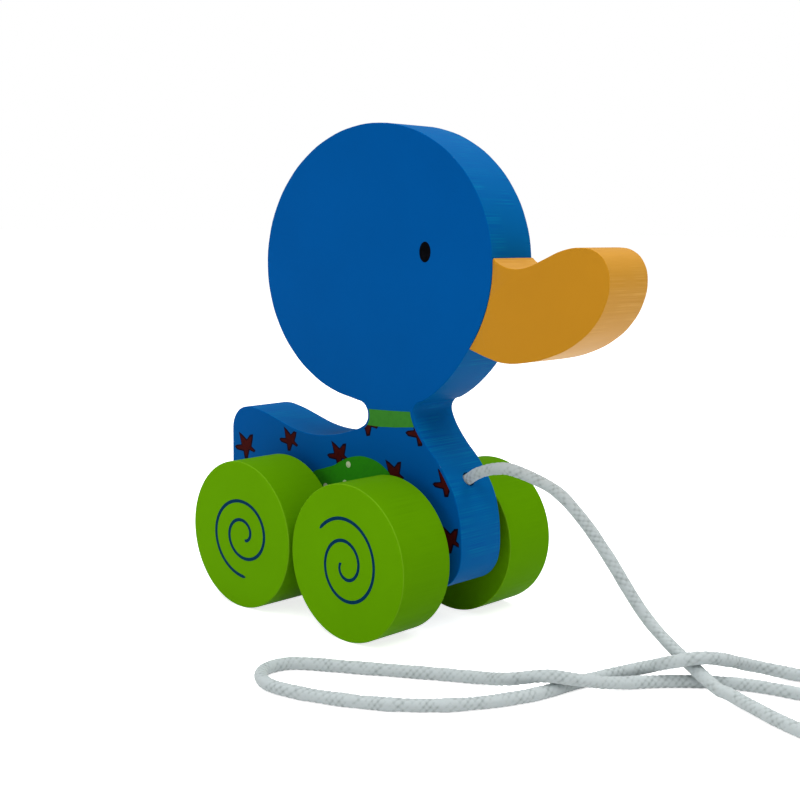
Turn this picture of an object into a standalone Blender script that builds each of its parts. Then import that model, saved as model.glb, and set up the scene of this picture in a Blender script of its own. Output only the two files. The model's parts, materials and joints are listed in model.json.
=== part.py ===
# Pull-along toy duck: a sawn board on two dowel axles, with four turned wheels, a beak and a cord.
# Metres, +Z up, +X towards the beak, -Y is the duck's right side.
# The origin lies on the floor, below the middle of the toy's length.

import math

import bmesh
import bpy
from mathutils import Vector

# Fits
FIT_GAP = 0.0003  # left all round a glued or running fit
CORD_HOLE_CLEARANCE = 0.0004

# Board that makes the head, neck, body and tail
BOARD_THICKNESS = 0.016
BOARD_EDGE = 0.0008  # rounding of every sawn edge
HEAD_LENGTH = 0.086
HEAD_HEIGHT = 0.0754
HEAD_TILT = math.radians(4.3)  # the beak end is raised
HEAD_SETBACK = 0.0137  # head's middle, behind the front axle
NECK_WIDTH = 0.017
NECK_LENGTH = 0.0074  # from the shoulder up to the head's underside
NECK_SETBACK = 0.0057  # neck's middle, behind the front axle
JOWL_SWELL = 0.0022  # head's front underside, beyond its oval
THROAT_RADIUS = 0.0032  # hollow between the head and the chest
THROAT_DROP = 0.0012  # hollow's middle, below the head's oval
SHOULDER_RISE = 0.0316  # these four rises are above the axles
SADDLE_RISE = 0.0272
TAIL_RISE = 0.0322
CHEST_RISE = 0.0065  # the foremost point of the chest
SADDLE_PLACE = 0.57  # lowest point of the back, from the tail's crest towards the neck
TAIL_OVERHANG = 0.0301  # behind the rear axle
CHEST_OVERHANG = 0.0208  # ahead of the front axle
TAIL_CORNER = 0.0074
RUMP_CORNER = 0.008
CHEST_CORNER = 0.010

# Degrees through which the outline's round stretches turn
SLOT_TURN = 66  # behind the neck, either side of the slot's middle
TAIL_TURN = 60
CHEST_TURN = 75
THROAT_TURN = 55

# Wheels and axles
WHEEL_DIAMETER = 0.042
WHEEL_WIDTH = 0.0175
WHEEL_EDGE = 0.0007
WHEEL_WALL = 0.0055  # wood between an axle's end and the wheel's outer face
WHEEL_STANDOFF = 0.0043  # from the board's face to the wheel
WHEEL_SPACING = 0.0013  # between the front and rear treads
AXLE_DIAMETER = 0.008
AXLE_COVER = 0.0042  # wood below an axle hole
DOWEL_CHAMFER = 0.0005
SPACER_WALL = 0.003

# Beak
BEAK_LENGTH = 0.03647  # from the head's rim to the tip
BEAK_HEIGHT = 0.029
BEAK_ROOT = 0.0260  # along the head's rim
BEAK_ANGLE = math.radians(-18.9)  # root's middle, round the head from its long axis
BEAK_DOWEL_DIAMETER = 0.005
BEAK_DOWEL_LENGTH = 0.018
BEAK_DOWEL_PITCH = 0.011  # along the head's rim

# Cord
CORD_DIAMETER = 0.0032
CORD_HOLE_DEPTH = 0.013
CORD_HOLE_TILT = math.radians(32)
CORD_LEAD = 0.0038  # straight out of the hole
CORD_SPACING = 2.4  # cord diameters between the tube's points
KNOT_LENGTH = 0.010
KNOT_DIAMETER = 0.0084

# Smoothness
OUTLINE_STEPS = 4  # straight pieces between two outline points
RIM_POINTS = 25  # round the head
SEAT_POINTS = 7  # along the beak's root
ARC_POINTS = 5
BACK_POINTS = 4  # on each half of the hollow back
ROUND_STEPS = 48
DOWEL_STEPS = 24
EDGE_STEPS = 2
ROUTE_STEPS = 16  # between two points of the cord's route
TUBE_RESOLUTION = 2
KNOT_SEGMENTS = 16
KNOT_RINGS = 10
SHADE_ANGLE = math.radians(40)  # smooth shading stops at sharper edges
EDGE_ANGLE = math.radians(50)  # edges sharper than this are rounded
WELD = 0.000003

# Worked out from the sizes above
AXLE_HEIGHT = WHEEL_DIAMETER / 2
AXLE_RADIUS = AXLE_DIAMETER / 2
AXLE_HOLE_RADIUS = AXLE_RADIUS + FIT_GAP
WHEEL_BASE = WHEEL_DIAMETER + WHEEL_SPACING
AXLE_SEAT = WHEEL_WIDTH - WHEEL_WALL - FIT_GAP
HALF_BOARD = BOARD_THICKNESS / 2
WHEEL_INNER = HALF_BOARD + WHEEL_STANDOFF
UNDERSIDE = -AXLE_HOLE_RADIUS - AXLE_COVER
TAIL_END = -WHEEL_BASE - TAIL_OVERHANG
NECK_FRONT = NECK_WIDTH / 2 - NECK_SETBACK
NECK_BACK = NECK_FRONT - NECK_WIDTH
HEAD_RISE = SHOULDER_RISE + NECK_LENGTH + HEAD_HEIGHT / 2
MEAN_HEAD_RADIUS = (HEAD_LENGTH + HEAD_HEIGHT) / 4
BEAK_HALF_ANGLE = BEAK_ROOT / 2 / MEAN_HEAD_RADIUS
CORD_HOLE_RADIUS = CORD_DIAMETER / 2 + CORD_HOLE_CLEARANCE
CORD_DIRECTION = Vector((math.cos(CORD_HOLE_TILT), 0, math.sin(CORD_HOLE_TILT)))

# Shape of the beak beyond its root: shares of its length and height, from the root's middle
BEAK_SHAPE = [
    (0.085, 0.376), (0.20, 0.334), (0.33, 0.349), (0.47, 0.420), (0.62, 0.497), (0.77, 0.524),
    (0.89, 0.494), (0.97, 0.398), (1.00, 0.256), (0.975, 0.079), (0.89, -0.105), (0.76, -0.252),
    (0.58, -0.371), (0.36, -0.450), (0.15, -0.479), (0.02, -0.450),
]

# Slope of the chest, from the throat (0, 0) down to its foremost point (1, 1)
CHEST_SHAPE = [
    (0.05, 0.08), (0.165, 0.18), (0.345, 0.295), (0.525, 0.39), (0.74, 0.545), (0.87, 0.67), (0.955, 0.82),
]
CORD_ON_CHEST = 4  # which of those points the cord leaves at

# Route of the cord from the chest to its knot, chosen by hand
CORD_ROUTE = [
    (0.0295, 0.0001, 0.0457), (0.0360, 0.0005, 0.0460), (0.0470, 0.0024, 0.0425),
    (0.0540, 0.0045, 0.0362), (0.0605, 0.0066, 0.0278), (0.0730, 0.0087, 0.0120),
    (0.0928, 0.0037, 0.0034), (0.0990, 0.0028, 0.0022), (0.1165, -0.0031, 0.0016),
    (0.1305, -0.0054, 0.0016), (0.1388, -0.0002, 0.0016), (0.1390, 0.0081, 0.0016),
    (0.1325, 0.0143, 0.0016), (0.1200, 0.0178, 0.0016), (0.0985, 0.0136, 0.0016),
    (0.0840, 0.0030, 0.0016), (0.0747, -0.0098, 0.0021), (0.0713, -0.0176, 0.0039),
    (0.0660, -0.0242, 0.0052), (0.0575, -0.0276, 0.0031), (0.0480, -0.0298, 0.0017),
    (0.0216, -0.0464, 0.0016), (0.0145, -0.0509, 0.0016), (0.0102, -0.0552, 0.0016),
    (0.0097, -0.0615, 0.0016), (0.0140, -0.0661, 0.0016), (0.0212, -0.0674, 0.0016),
    (0.0340, -0.0634, 0.0016), (0.0480, -0.0552, 0.0016), (0.0585, -0.0440, 0.0016),
    (0.0655, -0.0290, 0.0016), (0.0684, -0.0130, 0.0016), (0.0715, -0.0043, 0.0021),
    (0.0772, 0.0007, 0.0040), (0.0838, 0.0011, 0.0068), (0.0889, 0.0042, 0.0083),
    (0.0917, 0.0101, 0.0073), (0.0940, 0.0222, 0.0032), (0.1050, 0.0288, 0.0017),
    (0.1141, 0.0276, 0.0042),
]


def spread(start, end, count):
    return [start + (end - start) * step / (count - 1) for step in range(count)]


def between(start, end, across, up):
    # The point at these shares of the way from start to end
    return start[0] + (end[0] - start[0]) * across, start[1] + (end[1] - start[1]) * up


def arc(centre, radius, start, end, count):
    angles = [math.radians(turn) for turn in spread(start, end, count)]
    return [(centre[0] + radius * math.cos(a), centre[1] + radius * math.sin(a)) for a in angles]


def head_rim(angle, gap=0.0):
    # A point on the head's oval rim, or a gap outside it, from the front axle
    along = (HEAD_LENGTH / 2 + gap) * math.cos(angle)
    up = (HEAD_HEIGHT / 2 + gap) * math.sin(angle)
    x = along * math.cos(HEAD_TILT) - up * math.sin(HEAD_TILT)
    z = along * math.sin(HEAD_TILT) + up * math.cos(HEAD_TILT)
    return x - HEAD_SETBACK, z + HEAD_RISE


def underside_angle(x):
    # Where round the head its underside stands over x
    return -math.acos((x + HEAD_SETBACK) / (HEAD_LENGTH / 2))


def jowl(angle):
    # The head's front underside swells from the beak's root to the throat
    beak_end = BEAK_ANGLE - BEAK_HALF_ANGLE
    share = (beak_end - angle) / (beak_end - underside_angle(NECK_FRONT))
    return JOWL_SWELL * min(max(share, 0), 1)


def hollow_back(shoulder, crest):
    # From the shoulder down a parabola to the saddle, then up a wave to the tail's crest
    saddle = between(crest, shoulder, SADDLE_PLACE, 0)[0], SADDLE_RISE
    shares = spread(0, 1, BACK_POINTS + 1)[1:]
    down = [between(shoulder, saddle, t, 1 - (1 - t) ** 2) for t in shares]
    return down + [between(saddle, crest, t, (1 - math.cos(math.pi * t)) / 2) for t in shares]


def chest_points():
    # From the throat down the slope of the breast to its foremost point
    throat = (NECK_FRONT, HEAD_RISE - HEAD_HEIGHT / 2 - THROAT_DROP)
    foremost = (CHEST_OVERHANG, CHEST_RISE)
    return [between(throat, foremost, u, v) for u, v in [(0, 0)] + CHEST_SHAPE + [(1, 1)]]


def body_outline():
    # The sawn outline in x and z from the front axle, once round from the throat,
    # and the points after which it runs straight down the tail and along the underside
    slot_radius = NECK_LENGTH / 2
    slot_centre = (NECK_BACK - slot_radius, SHOULDER_RISE + slot_radius)
    slot = arc(slot_centre, slot_radius, SLOT_TURN, -SLOT_TURN, ARC_POINTS)
    first = underside_angle(NECK_FRONT)
    last = 2 * math.pi + underside_angle(slot_centre[0] - slot_radius)
    rim = [head_rim(angle, jowl(angle)) for angle in spread(first, last, RIM_POINTS)]
    crest = (TAIL_END + TAIL_CORNER, TAIL_RISE)
    tail = arc((crest[0], TAIL_RISE - TAIL_CORNER), TAIL_CORNER, 180 - TAIL_TURN, 180, ARC_POINTS)
    rump = arc((TAIL_END + RUMP_CORNER, UNDERSIDE + RUMP_CORNER), RUMP_CORNER, 180, 270, ARC_POINTS)
    chest_centre = (CHEST_OVERHANG - CHEST_CORNER, UNDERSIDE + CHEST_CORNER)
    corner = arc(chest_centre, CHEST_CORNER, 270, 270 + CHEST_TURN, ARC_POINTS)
    breast = chest_points()[::-1]
    throat_centre = (NECK_FRONT + THROAT_RADIUS, breast[-1][1])
    throat = arc(throat_centre, THROAT_RADIUS, 180, 180 - THROAT_TURN, ARC_POINTS)
    above = rim + slot + hollow_back(slot[-1], crest) + tail
    straight = (len(above) - 1, len(above + rump) - 1)
    return above + rump + corner + breast + throat[1:], straight


def beak_outline():
    # The beak in x and z from the front axle: its free outline, then its root along the head's rim
    middle = head_rim(BEAK_ANGLE, FIT_GAP)
    free = [(middle[0] + BEAK_LENGTH * u, middle[1] + BEAK_HEIGHT * v) for u, v in BEAK_SHAPE]
    seat = spread(BEAK_ANGLE - BEAK_HALF_ANGLE, BEAK_ANGLE + BEAK_HALF_ANGLE, SEAT_POINTS)
    return free, [head_rim(angle, FIT_GAP) for angle in seat]


def front_axle_x():
    # Puts the origin halfway between the tail's end and the beak's tip
    tip = head_rim(BEAK_ANGLE, FIT_GAP)[0] + BEAK_LENGTH
    return -(TAIL_END + tip) / 2


FRONT_AXLE = Vector((front_axle_x(), 0, AXLE_HEIGHT))
REAR_AXLE = FRONT_AXLE - Vector((WHEEL_BASE, 0, 0))


def on_board(point):
    # From outline coordinates to the toy's own frame
    return FRONT_AXLE + Vector((point[0], 0, point[1]))


def clear_scene():
    for obj in list(bpy.data.objects):
        bpy.data.objects.remove(obj, do_unlink=True)


def new_collection(name):
    collection = bpy.data.collections.new(name)
    bpy.context.scene.collection.children.link(collection)
    return collection


def new_material(name, colour, roughness):
    material = bpy.data.materials.new(name)
    material.use_nodes = True
    shader = material.node_tree.nodes["Principled BSDF"]
    shader.inputs["Base Color"].default_value = (*colour, 1)
    shader.inputs["Roughness"].default_value = roughness
    shader.inputs["Metallic"].default_value = 0
    return material


def add_object(name, data, collection, material=None, location=(0, 0, 0), rotation=(0, 0, 0)):
    obj = bpy.data.objects.new(name, data)
    collection.objects.link(obj)
    obj.location = location
    obj.rotation_euler = rotation
    if material:
        data.materials.append(material)
    return obj


def sawn_piece(name, outline, sharp, straight, collection, material):
    # A flat piece of the board: the outline as a filled curve, welded into a mesh with rounded edges.
    # It turns a corner at the sharp points, and runs straight on from the straight ones
    curve = bpy.data.curves.new(name + "_outline", "CURVE")
    curve.dimensions = "2D"
    curve.fill_mode = "BOTH"
    curve.extrude = HALF_BOARD
    curve.resolution_u = OUTLINE_STEPS
    spline = curve.splines.new("BEZIER")
    spline.bezier_points.add(len(outline) - 1)
    spline.use_cyclic_u = True
    for index, (knot, point) in enumerate(zip(spline.bezier_points, outline)):
        knot.co = (point[0], point[1], 0)
        knot.handle_left_type = "VECTOR" if index in sharp or index - 1 in straight else "AUTO"
        knot.handle_right_type = "VECTOR" if index in sharp or index in straight else "AUTO"
    flat = add_object(name + "_flat", curve, collection, None, FRONT_AXLE, (math.pi / 2, 0, 0))
    bpy.context.view_layer.update()
    graph = bpy.context.evaluated_depsgraph_get()
    mesh = bpy.data.meshes.new_from_object(flat.evaluated_get(graph))
    solid = bmesh.new()
    solid.from_mesh(mesh)
    bmesh.ops.remove_doubles(solid, verts=solid.verts, dist=WELD)
    caps = [face for face in solid.faces if abs(face.normal.z) > face.normal.xy.length]
    rims = {edge for face in caps for edge in face.edges if not edge.is_boundary}
    inner = [edge for edge in rims if all(face in caps for face in edge.link_faces)]
    bmesh.ops.dissolve_edges(solid, edges=inner)
    bmesh.ops.recalc_face_normals(solid, faces=solid.faces)
    solid.to_mesh(mesh)
    solid.free()
    mesh.name = name
    mesh.shade_smooth()
    mesh.set_sharp_from_angle(angle=SHADE_ANGLE)
    piece = add_object(name, mesh, collection, material)
    piece.matrix_world = flat.matrix_world
    bpy.data.objects.remove(flat, do_unlink=True)
    bpy.data.curves.remove(curve)
    bevel = piece.modifiers.new("rounded edges", "BEVEL")
    bevel.width = BOARD_EDGE
    bevel.segments = EDGE_STEPS
    bevel.limit_method = "ANGLE"
    bevel.angle_limit = EDGE_ANGLE
    return piece


def hole_cutter(name, radius, length, centre, direction, collection):
    mesh = bpy.data.meshes.new(name)
    shape = bmesh.new()
    bmesh.ops.create_cone(
        shape, cap_ends=True, segments=DOWEL_STEPS, radius1=radius, radius2=radius, depth=length
    )
    shape.to_mesh(mesh)
    shape.free()
    cutter = add_object(name, mesh, collection, None, centre)
    cutter.rotation_euler = direction.to_track_quat("Z", "Y").to_euler()
    cutter.hide_render = True
    cutter.display_type = "WIRE"
    return cutter


def cut(piece, cutter):
    boolean = piece.modifiers.new(cutter.name, "BOOLEAN")
    boolean.operation = "DIFFERENCE"
    boolean.object = cutter


def turned_piece(name, profile, closed, steps, collection, material):
    # A profile of (radius, height) turned about Z; it runs down the outer side
    mesh = bpy.data.meshes.new(name)
    lathe = bmesh.new()
    verts = [lathe.verts.new((radius, 0, height)) for radius, height in profile]
    for first, second in zip(verts, verts[1:] + verts[:1]):
        if closed or first is not verts[-1]:
            lathe.edges.new((first, second))
    lathe.to_mesh(mesh)
    lathe.free()
    piece = add_object(name, mesh, collection, material)
    screw = piece.modifiers.new("turned", "SCREW")
    screw.steps = screw.render_steps = steps
    screw.use_merge_vertices = True
    screw.merge_threshold = WELD
    screw.use_smooth_shade = True
    return piece


def wheel_profile():
    # From the middle of the outer face, down the tread, and up the blind bore for the axle
    radius = WHEEL_DIAMETER / 2
    bore = AXLE_RADIUS + FIT_GAP
    outer = arc((radius - WHEEL_EDGE, WHEEL_WIDTH - WHEEL_EDGE), WHEEL_EDGE, 90, 0, EDGE_STEPS + 1)
    inner = arc((radius - WHEEL_EDGE, WHEEL_EDGE), WHEEL_EDGE, 0, -90, EDGE_STEPS + 1)
    depth = AXLE_SEAT + FIT_GAP
    return [(0, WHEEL_WIDTH)] + outer + inner + [(bore, 0), (bore, depth), (0, depth)]


def dowel_profile(diameter, length):
    radius, half = diameter / 2, length / 2
    neck = radius - DOWEL_CHAMFER
    side = [(neck, half), (radius, half - DOWEL_CHAMFER)]
    return [(0, half)] + side + [(r, -h) for r, h in reversed(side)] + [(0, -half)]


def ring_profile(inner, outer, width):
    half = width / 2
    return [(outer, half), (outer, -half), (inner, -half), (inner, half)]


def build_wheelset(end, centre, parts, green, wood):
    # An axle with a wheel and a spacing ring at each end, on an empty on the axle's axis
    hub = bpy.data.objects.new(end + "_wheelset", None)
    parts.objects.link(hub)
    hub.location = centre
    reach = WHEEL_INNER + AXLE_SEAT
    axle = turned_piece(
        end + "_axle", dowel_profile(AXLE_DIAMETER, 2 * reach), False, DOWEL_STEPS, parts, wood
    )
    axle.rotation_euler = (math.pi / 2, 0, 0)
    pieces = [axle]
    for side, sign in (("right", -1), ("left", 1)):
        facing = (-sign * math.pi / 2, 0, 0)
        wheel = turned_piece(
            f"wheel_{end}_{side}", wheel_profile(), False, ROUND_STEPS, parts, green
        )
        wheel.location = (0, sign * WHEEL_INNER, 0)
        wheel.rotation_euler = facing
        bore = AXLE_RADIUS + FIT_GAP
        ring = ring_profile(bore, bore + SPACER_WALL, WHEEL_STANDOFF - 2 * FIT_GAP)
        spacer = turned_piece(f"spacer_{end}_{side}", ring, True, DOWEL_STEPS, parts, wood)
        spacer.location = (0, sign * (HALF_BOARD + WHEEL_STANDOFF / 2), 0)
        spacer.rotation_euler = facing
        pieces += [wheel, spacer]
    for piece in pieces:
        piece.parent = hub


def smooth_route(points, spacing):
    # Even steps along a smooth curve through the points
    ends = [points[0] * 2 - points[1]] + points + [points[-1] * 2 - points[-2]]
    dense = [points[0]]
    for a, b, c, d in zip(ends, ends[1:], ends[2:], ends[3:]):
        for t in spread(0, 1, ROUTE_STEPS + 1)[1:]:
            dense.append(
                ((2 * b) + (c - a) * t + (2 * a - 5 * b + 4 * c - d) * t**2
                 + (3 * b - a - 3 * c + d) * t**3) / 2
            )
    lengths = [0.0]
    for first, second in zip(dense, dense[1:]):
        lengths.append(lengths[-1] + (second - first).length)
    count = round(lengths[-1] / spacing)
    route, place = [], 0
    for wanted in spread(0, lengths[-1], count + 1):
        while place < len(dense) - 2 and lengths[place + 1] < wanted:
            place += 1
        share = (wanted - lengths[place]) / (lengths[place + 1] - lengths[place])
        route.append(dense[place].lerp(dense[place + 1], min(share, 1.0)))
    return route


def build_cord(mouth, parts, cotton):
    # The cord starts inside its hole and lies on the floor as far as its knot
    inside = CORD_HOLE_DEPTH - FIT_GAP
    start = [mouth + CORD_DIRECTION * reach for reach in (-inside, -inside / 2, 0, CORD_LEAD)]
    points = start + [Vector(point) for point in CORD_ROUTE]
    route = smooth_route(points, CORD_SPACING * CORD_DIAMETER)
    for point in route:
        point.z = max(point.z, CORD_DIAMETER / 2)
    curve = bpy.data.curves.new("pull_cord", "CURVE")
    curve.dimensions = "3D"
    curve.bevel_depth = CORD_DIAMETER / 2
    curve.bevel_resolution = TUBE_RESOLUTION
    curve.use_fill_caps = True
    spline = curve.splines.new("POLY")
    spline.points.add(len(route) - 1)
    for knot, point in zip(spline.points, route):
        knot.co = (*point, 1)
    add_object("pull_cord", curve, parts, cotton)

    mesh = bpy.data.meshes.new("end_knot")
    lump = bmesh.new()
    bmesh.ops.create_uvsphere(
        lump, u_segments=KNOT_SEGMENTS, v_segments=KNOT_RINGS, radius=KNOT_DIAMETER / 2
    )
    bmesh.ops.scale(lump, vec=(1, 1, KNOT_LENGTH / KNOT_DIAMETER), verts=lump.verts)
    lump.to_mesh(mesh)
    lump.free()
    mesh.shade_smooth()
    along = (route[-1] - route[-2]).normalized()
    along.z = 0
    along.normalize()
    centre = route[-1] + along * (KNOT_LENGTH / 2 + FIT_GAP)
    centre.z = KNOT_DIAMETER / 2
    knot = add_object("end_knot", mesh, parts, cotton, centre)
    knot.rotation_euler = along.to_track_quat("Z", "Y").to_euler()


def build_toy():
    clear_scene()
    parts = new_collection("pull_along_duck")
    cutters = new_collection("pull_along_duck_cutters")
    blue = new_material("blue_paint", (0.0, 0.085, 0.32), 0.42)
    orange = new_material("orange_paint", (0.50, 0.22, 0.014), 0.42)
    green = new_material("green_paint", (0.105, 0.28, 0.002), 0.4)
    wood = new_material("bare_beech", (0.55, 0.38, 0.22), 0.6)
    cotton = new_material("white_cotton", (0.62, 0.66, 0.66), 0.9)

    outline, straight = body_outline()
    board = sawn_piece("body_board", outline, (), straight, parts, blue)
    free, root = beak_outline()
    corners = (len(free), len(free) + len(root) - 1)
    beak = sawn_piece("beak", free + root, corners, (), parts, orange)

    for end, axle in (("front", FRONT_AXLE), ("rear", REAR_AXLE)):
        through = BOARD_THICKNESS * 2
        hole = hole_cutter(
            end + "_axle_hole", AXLE_HOLE_RADIUS, through, axle, Vector((0, 1, 0)), cutters
        )
        cut(board, hole)
        build_wheelset(end, axle, parts, green, wood)

    half_pitch = BEAK_DOWEL_PITCH / 2 / MEAN_HEAD_RADIUS
    for place, angle in (("upper", BEAK_ANGLE + half_pitch), ("lower", BEAK_ANGLE - half_pitch)):
        centre = on_board(head_rim(angle))
        profile = dowel_profile(BEAK_DOWEL_DIAMETER, BEAK_DOWEL_LENGTH)
        dowel = turned_piece("beak_dowel_" + place, profile, False, DOWEL_STEPS, parts, wood)
        dowel.location = centre
        dowel.rotation_euler = (0, math.pi / 2, 0)
        hole = hole_cutter(
            place + "_dowel_hole", BEAK_DOWEL_DIAMETER / 2 + FIT_GAP,
            BEAK_DOWEL_LENGTH + 2 * FIT_GAP, centre, Vector((1, 0, 0)), cutters
        )
        cut(board, hole)
        cut(beak, hole)

    mouth = on_board(chest_points()[1 + CORD_ON_CHEST])
    hole = hole_cutter(
        "cord_hole", CORD_HOLE_RADIUS, 2 * CORD_HOLE_DEPTH, mouth, CORD_DIRECTION, cutters
    )
    cut(board, hole)
    build_cord(mouth, parts, cotton)


build_toy()
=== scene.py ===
# Pull-along toy duck: paint, printed figures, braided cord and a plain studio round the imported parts.
# Metres, +Z up, +X towards the beak. -Y is the duck's right side, which faces the camera.
import json
import math

import bmesh
import bpy
import numpy as np
from mathutils import Matrix, Vector, noise


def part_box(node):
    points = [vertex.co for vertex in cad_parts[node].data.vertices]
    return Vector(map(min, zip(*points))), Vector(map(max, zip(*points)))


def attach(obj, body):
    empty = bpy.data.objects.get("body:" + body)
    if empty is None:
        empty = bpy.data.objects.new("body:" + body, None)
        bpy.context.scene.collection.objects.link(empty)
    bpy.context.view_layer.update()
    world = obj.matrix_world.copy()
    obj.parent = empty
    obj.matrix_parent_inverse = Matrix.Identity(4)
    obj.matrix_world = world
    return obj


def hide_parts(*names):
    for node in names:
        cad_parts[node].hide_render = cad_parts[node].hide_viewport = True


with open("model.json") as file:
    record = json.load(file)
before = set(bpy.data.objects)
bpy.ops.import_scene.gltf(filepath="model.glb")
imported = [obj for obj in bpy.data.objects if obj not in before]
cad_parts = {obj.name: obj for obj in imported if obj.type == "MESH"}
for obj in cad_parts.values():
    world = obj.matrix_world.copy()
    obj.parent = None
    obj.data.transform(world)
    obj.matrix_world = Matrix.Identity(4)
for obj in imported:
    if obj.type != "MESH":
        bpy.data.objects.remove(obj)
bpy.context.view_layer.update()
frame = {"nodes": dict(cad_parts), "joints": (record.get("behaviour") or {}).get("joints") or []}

scene = bpy.context.scene
mm = 0.001
weld = 0.001 * mm
upright = Matrix.Rotation(math.pi / 2, 4, "X")  # from the flat of a drawing to the flat of the board


# Small tools

def linear(hexColour):
    shares = [int(hexColour[i:i + 2], 16) / 255 for i in (1, 3, 5)]
    return tuple(s / 12.92 if s <= 0.04045 else ((s + 0.055) / 1.055) ** 2.4 for s in shares) + (1.0,)


def addNode(tree, kind, settings=None, links=None):
    node = tree.nodes.new(kind)
    for key, value in (settings or {}).items():
        if isinstance(key, str) and hasattr(node, key):
            setattr(node, key, value)
        else:
            node.inputs[key].default_value = value
    for key, source in (links or {}).items():
        tree.links.new(source, node.inputs[key])
    return node


def newMaterial(name):
    material = bpy.data.materials.new(name)
    material.use_nodes = True
    tree = material.node_tree
    return material, tree, tree.nodes["Principled BSDF"]


def newPiece(name, bm, material, body, replaced=(), sharpAngle=40):
    mesh = bpy.data.meshes.new(name)
    bm.to_mesh(mesh)
    bm.free()
    mesh.materials.append(material)
    mesh.shade_smooth()
    mesh.set_sharp_from_angle(angle=math.radians(sharpAngle))
    piece = bpy.data.objects.new(name, mesh)
    scene.collection.objects.link(piece)
    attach(piece, body)
    if replaced:
        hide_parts(*replaced)
    return piece


def smoothLine(points, spacing, closed=False):
    # Even steps along a smooth curve through the points
    points = [Vector(p) for p in points]
    if closed:
        ends = [points[-1]] + points + points[:2]
    else:
        ends = [points[0] * 2 - points[1]] + points + [points[-1] * 2 - points[-2]]
    dense = [ends[1]]
    for a, b, c, d in zip(ends, ends[1:], ends[2:], ends[3:]):
        for step in range(1, 17):
            t = step / 16
            dense.append((2 * b + (c - a) * t + (2 * a - 5 * b + 4 * c - d) * t**2
                          + (3 * b - a - 3 * c + d) * t**3) / 2)
    reach = np.concatenate([[0], np.cumsum([(q - p).length for p, q in zip(dense, dense[1:])])])
    wanted = np.linspace(0, reach[-1], max(2, round(reach[-1] / spacing)) + 1)
    table = np.array([tuple(p) for p in dense])
    line = [Vector(row) for row in np.stack([np.interp(wanted, reach, column) for column in table.T], 1)]
    return line[:-1] if closed else line


# Materials

paints = {
    "blue": {"name": "satinBluePaint", "face": "#00559F", "streakAndShading": "#0473A3", "wearAndPaintedLight": "#9DBBD0",
             "specular": "#1C5C9C", "roughness": 0.5, "sheen": 0.06, "index": 1.3,
             "rimShow": 0.25, "streakShow": 0.75, "rubbedAndHighlit": 0.0, "chipped": 0.35},
    "orange": {"name": "satinOrangePaint", "face": "#C4881F", "streakAndShading": "#DEAC58", "wearAndPaintedLight": "#E8CFA0",
               "specular": "#C89038", "roughness": 0.46, "sheen": 0.22, "index": 1.48,
               "rimShow": 0.2, "streakShow": 0.5, "rubbedAndHighlit": 0.0, "chipped": 0.0},
    # the green's darker rim tone on the wheels' treads is painted shade
    "green": {"name": "satinGreenPaint", "face": "#639F02", "streakAndShading": "#4C8200", "wearAndPaintedLight": "#A6D048",
              "specular": "#6C9828", "roughness": 0.5, "sheen": 0.04, "index": 1.2,
              # a light line all round the wheels' edges, partly painted highlight, and chips of wear
              "rimShow": 0.3, "streakShow": 0.25, "rubbedAndHighlit": 0.18, "chipped": 0.18},
}
paintWear = {"sawMark": 0.45 * mm, "markRun": 40 * mm, "brushCloud": 22 * mm, "patch": 9 * mm,
             "chip": 1.1 * mm, "cloudTone": 0.86, "markBump": 0.3, "markDepth": 0.04 * mm}


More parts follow.
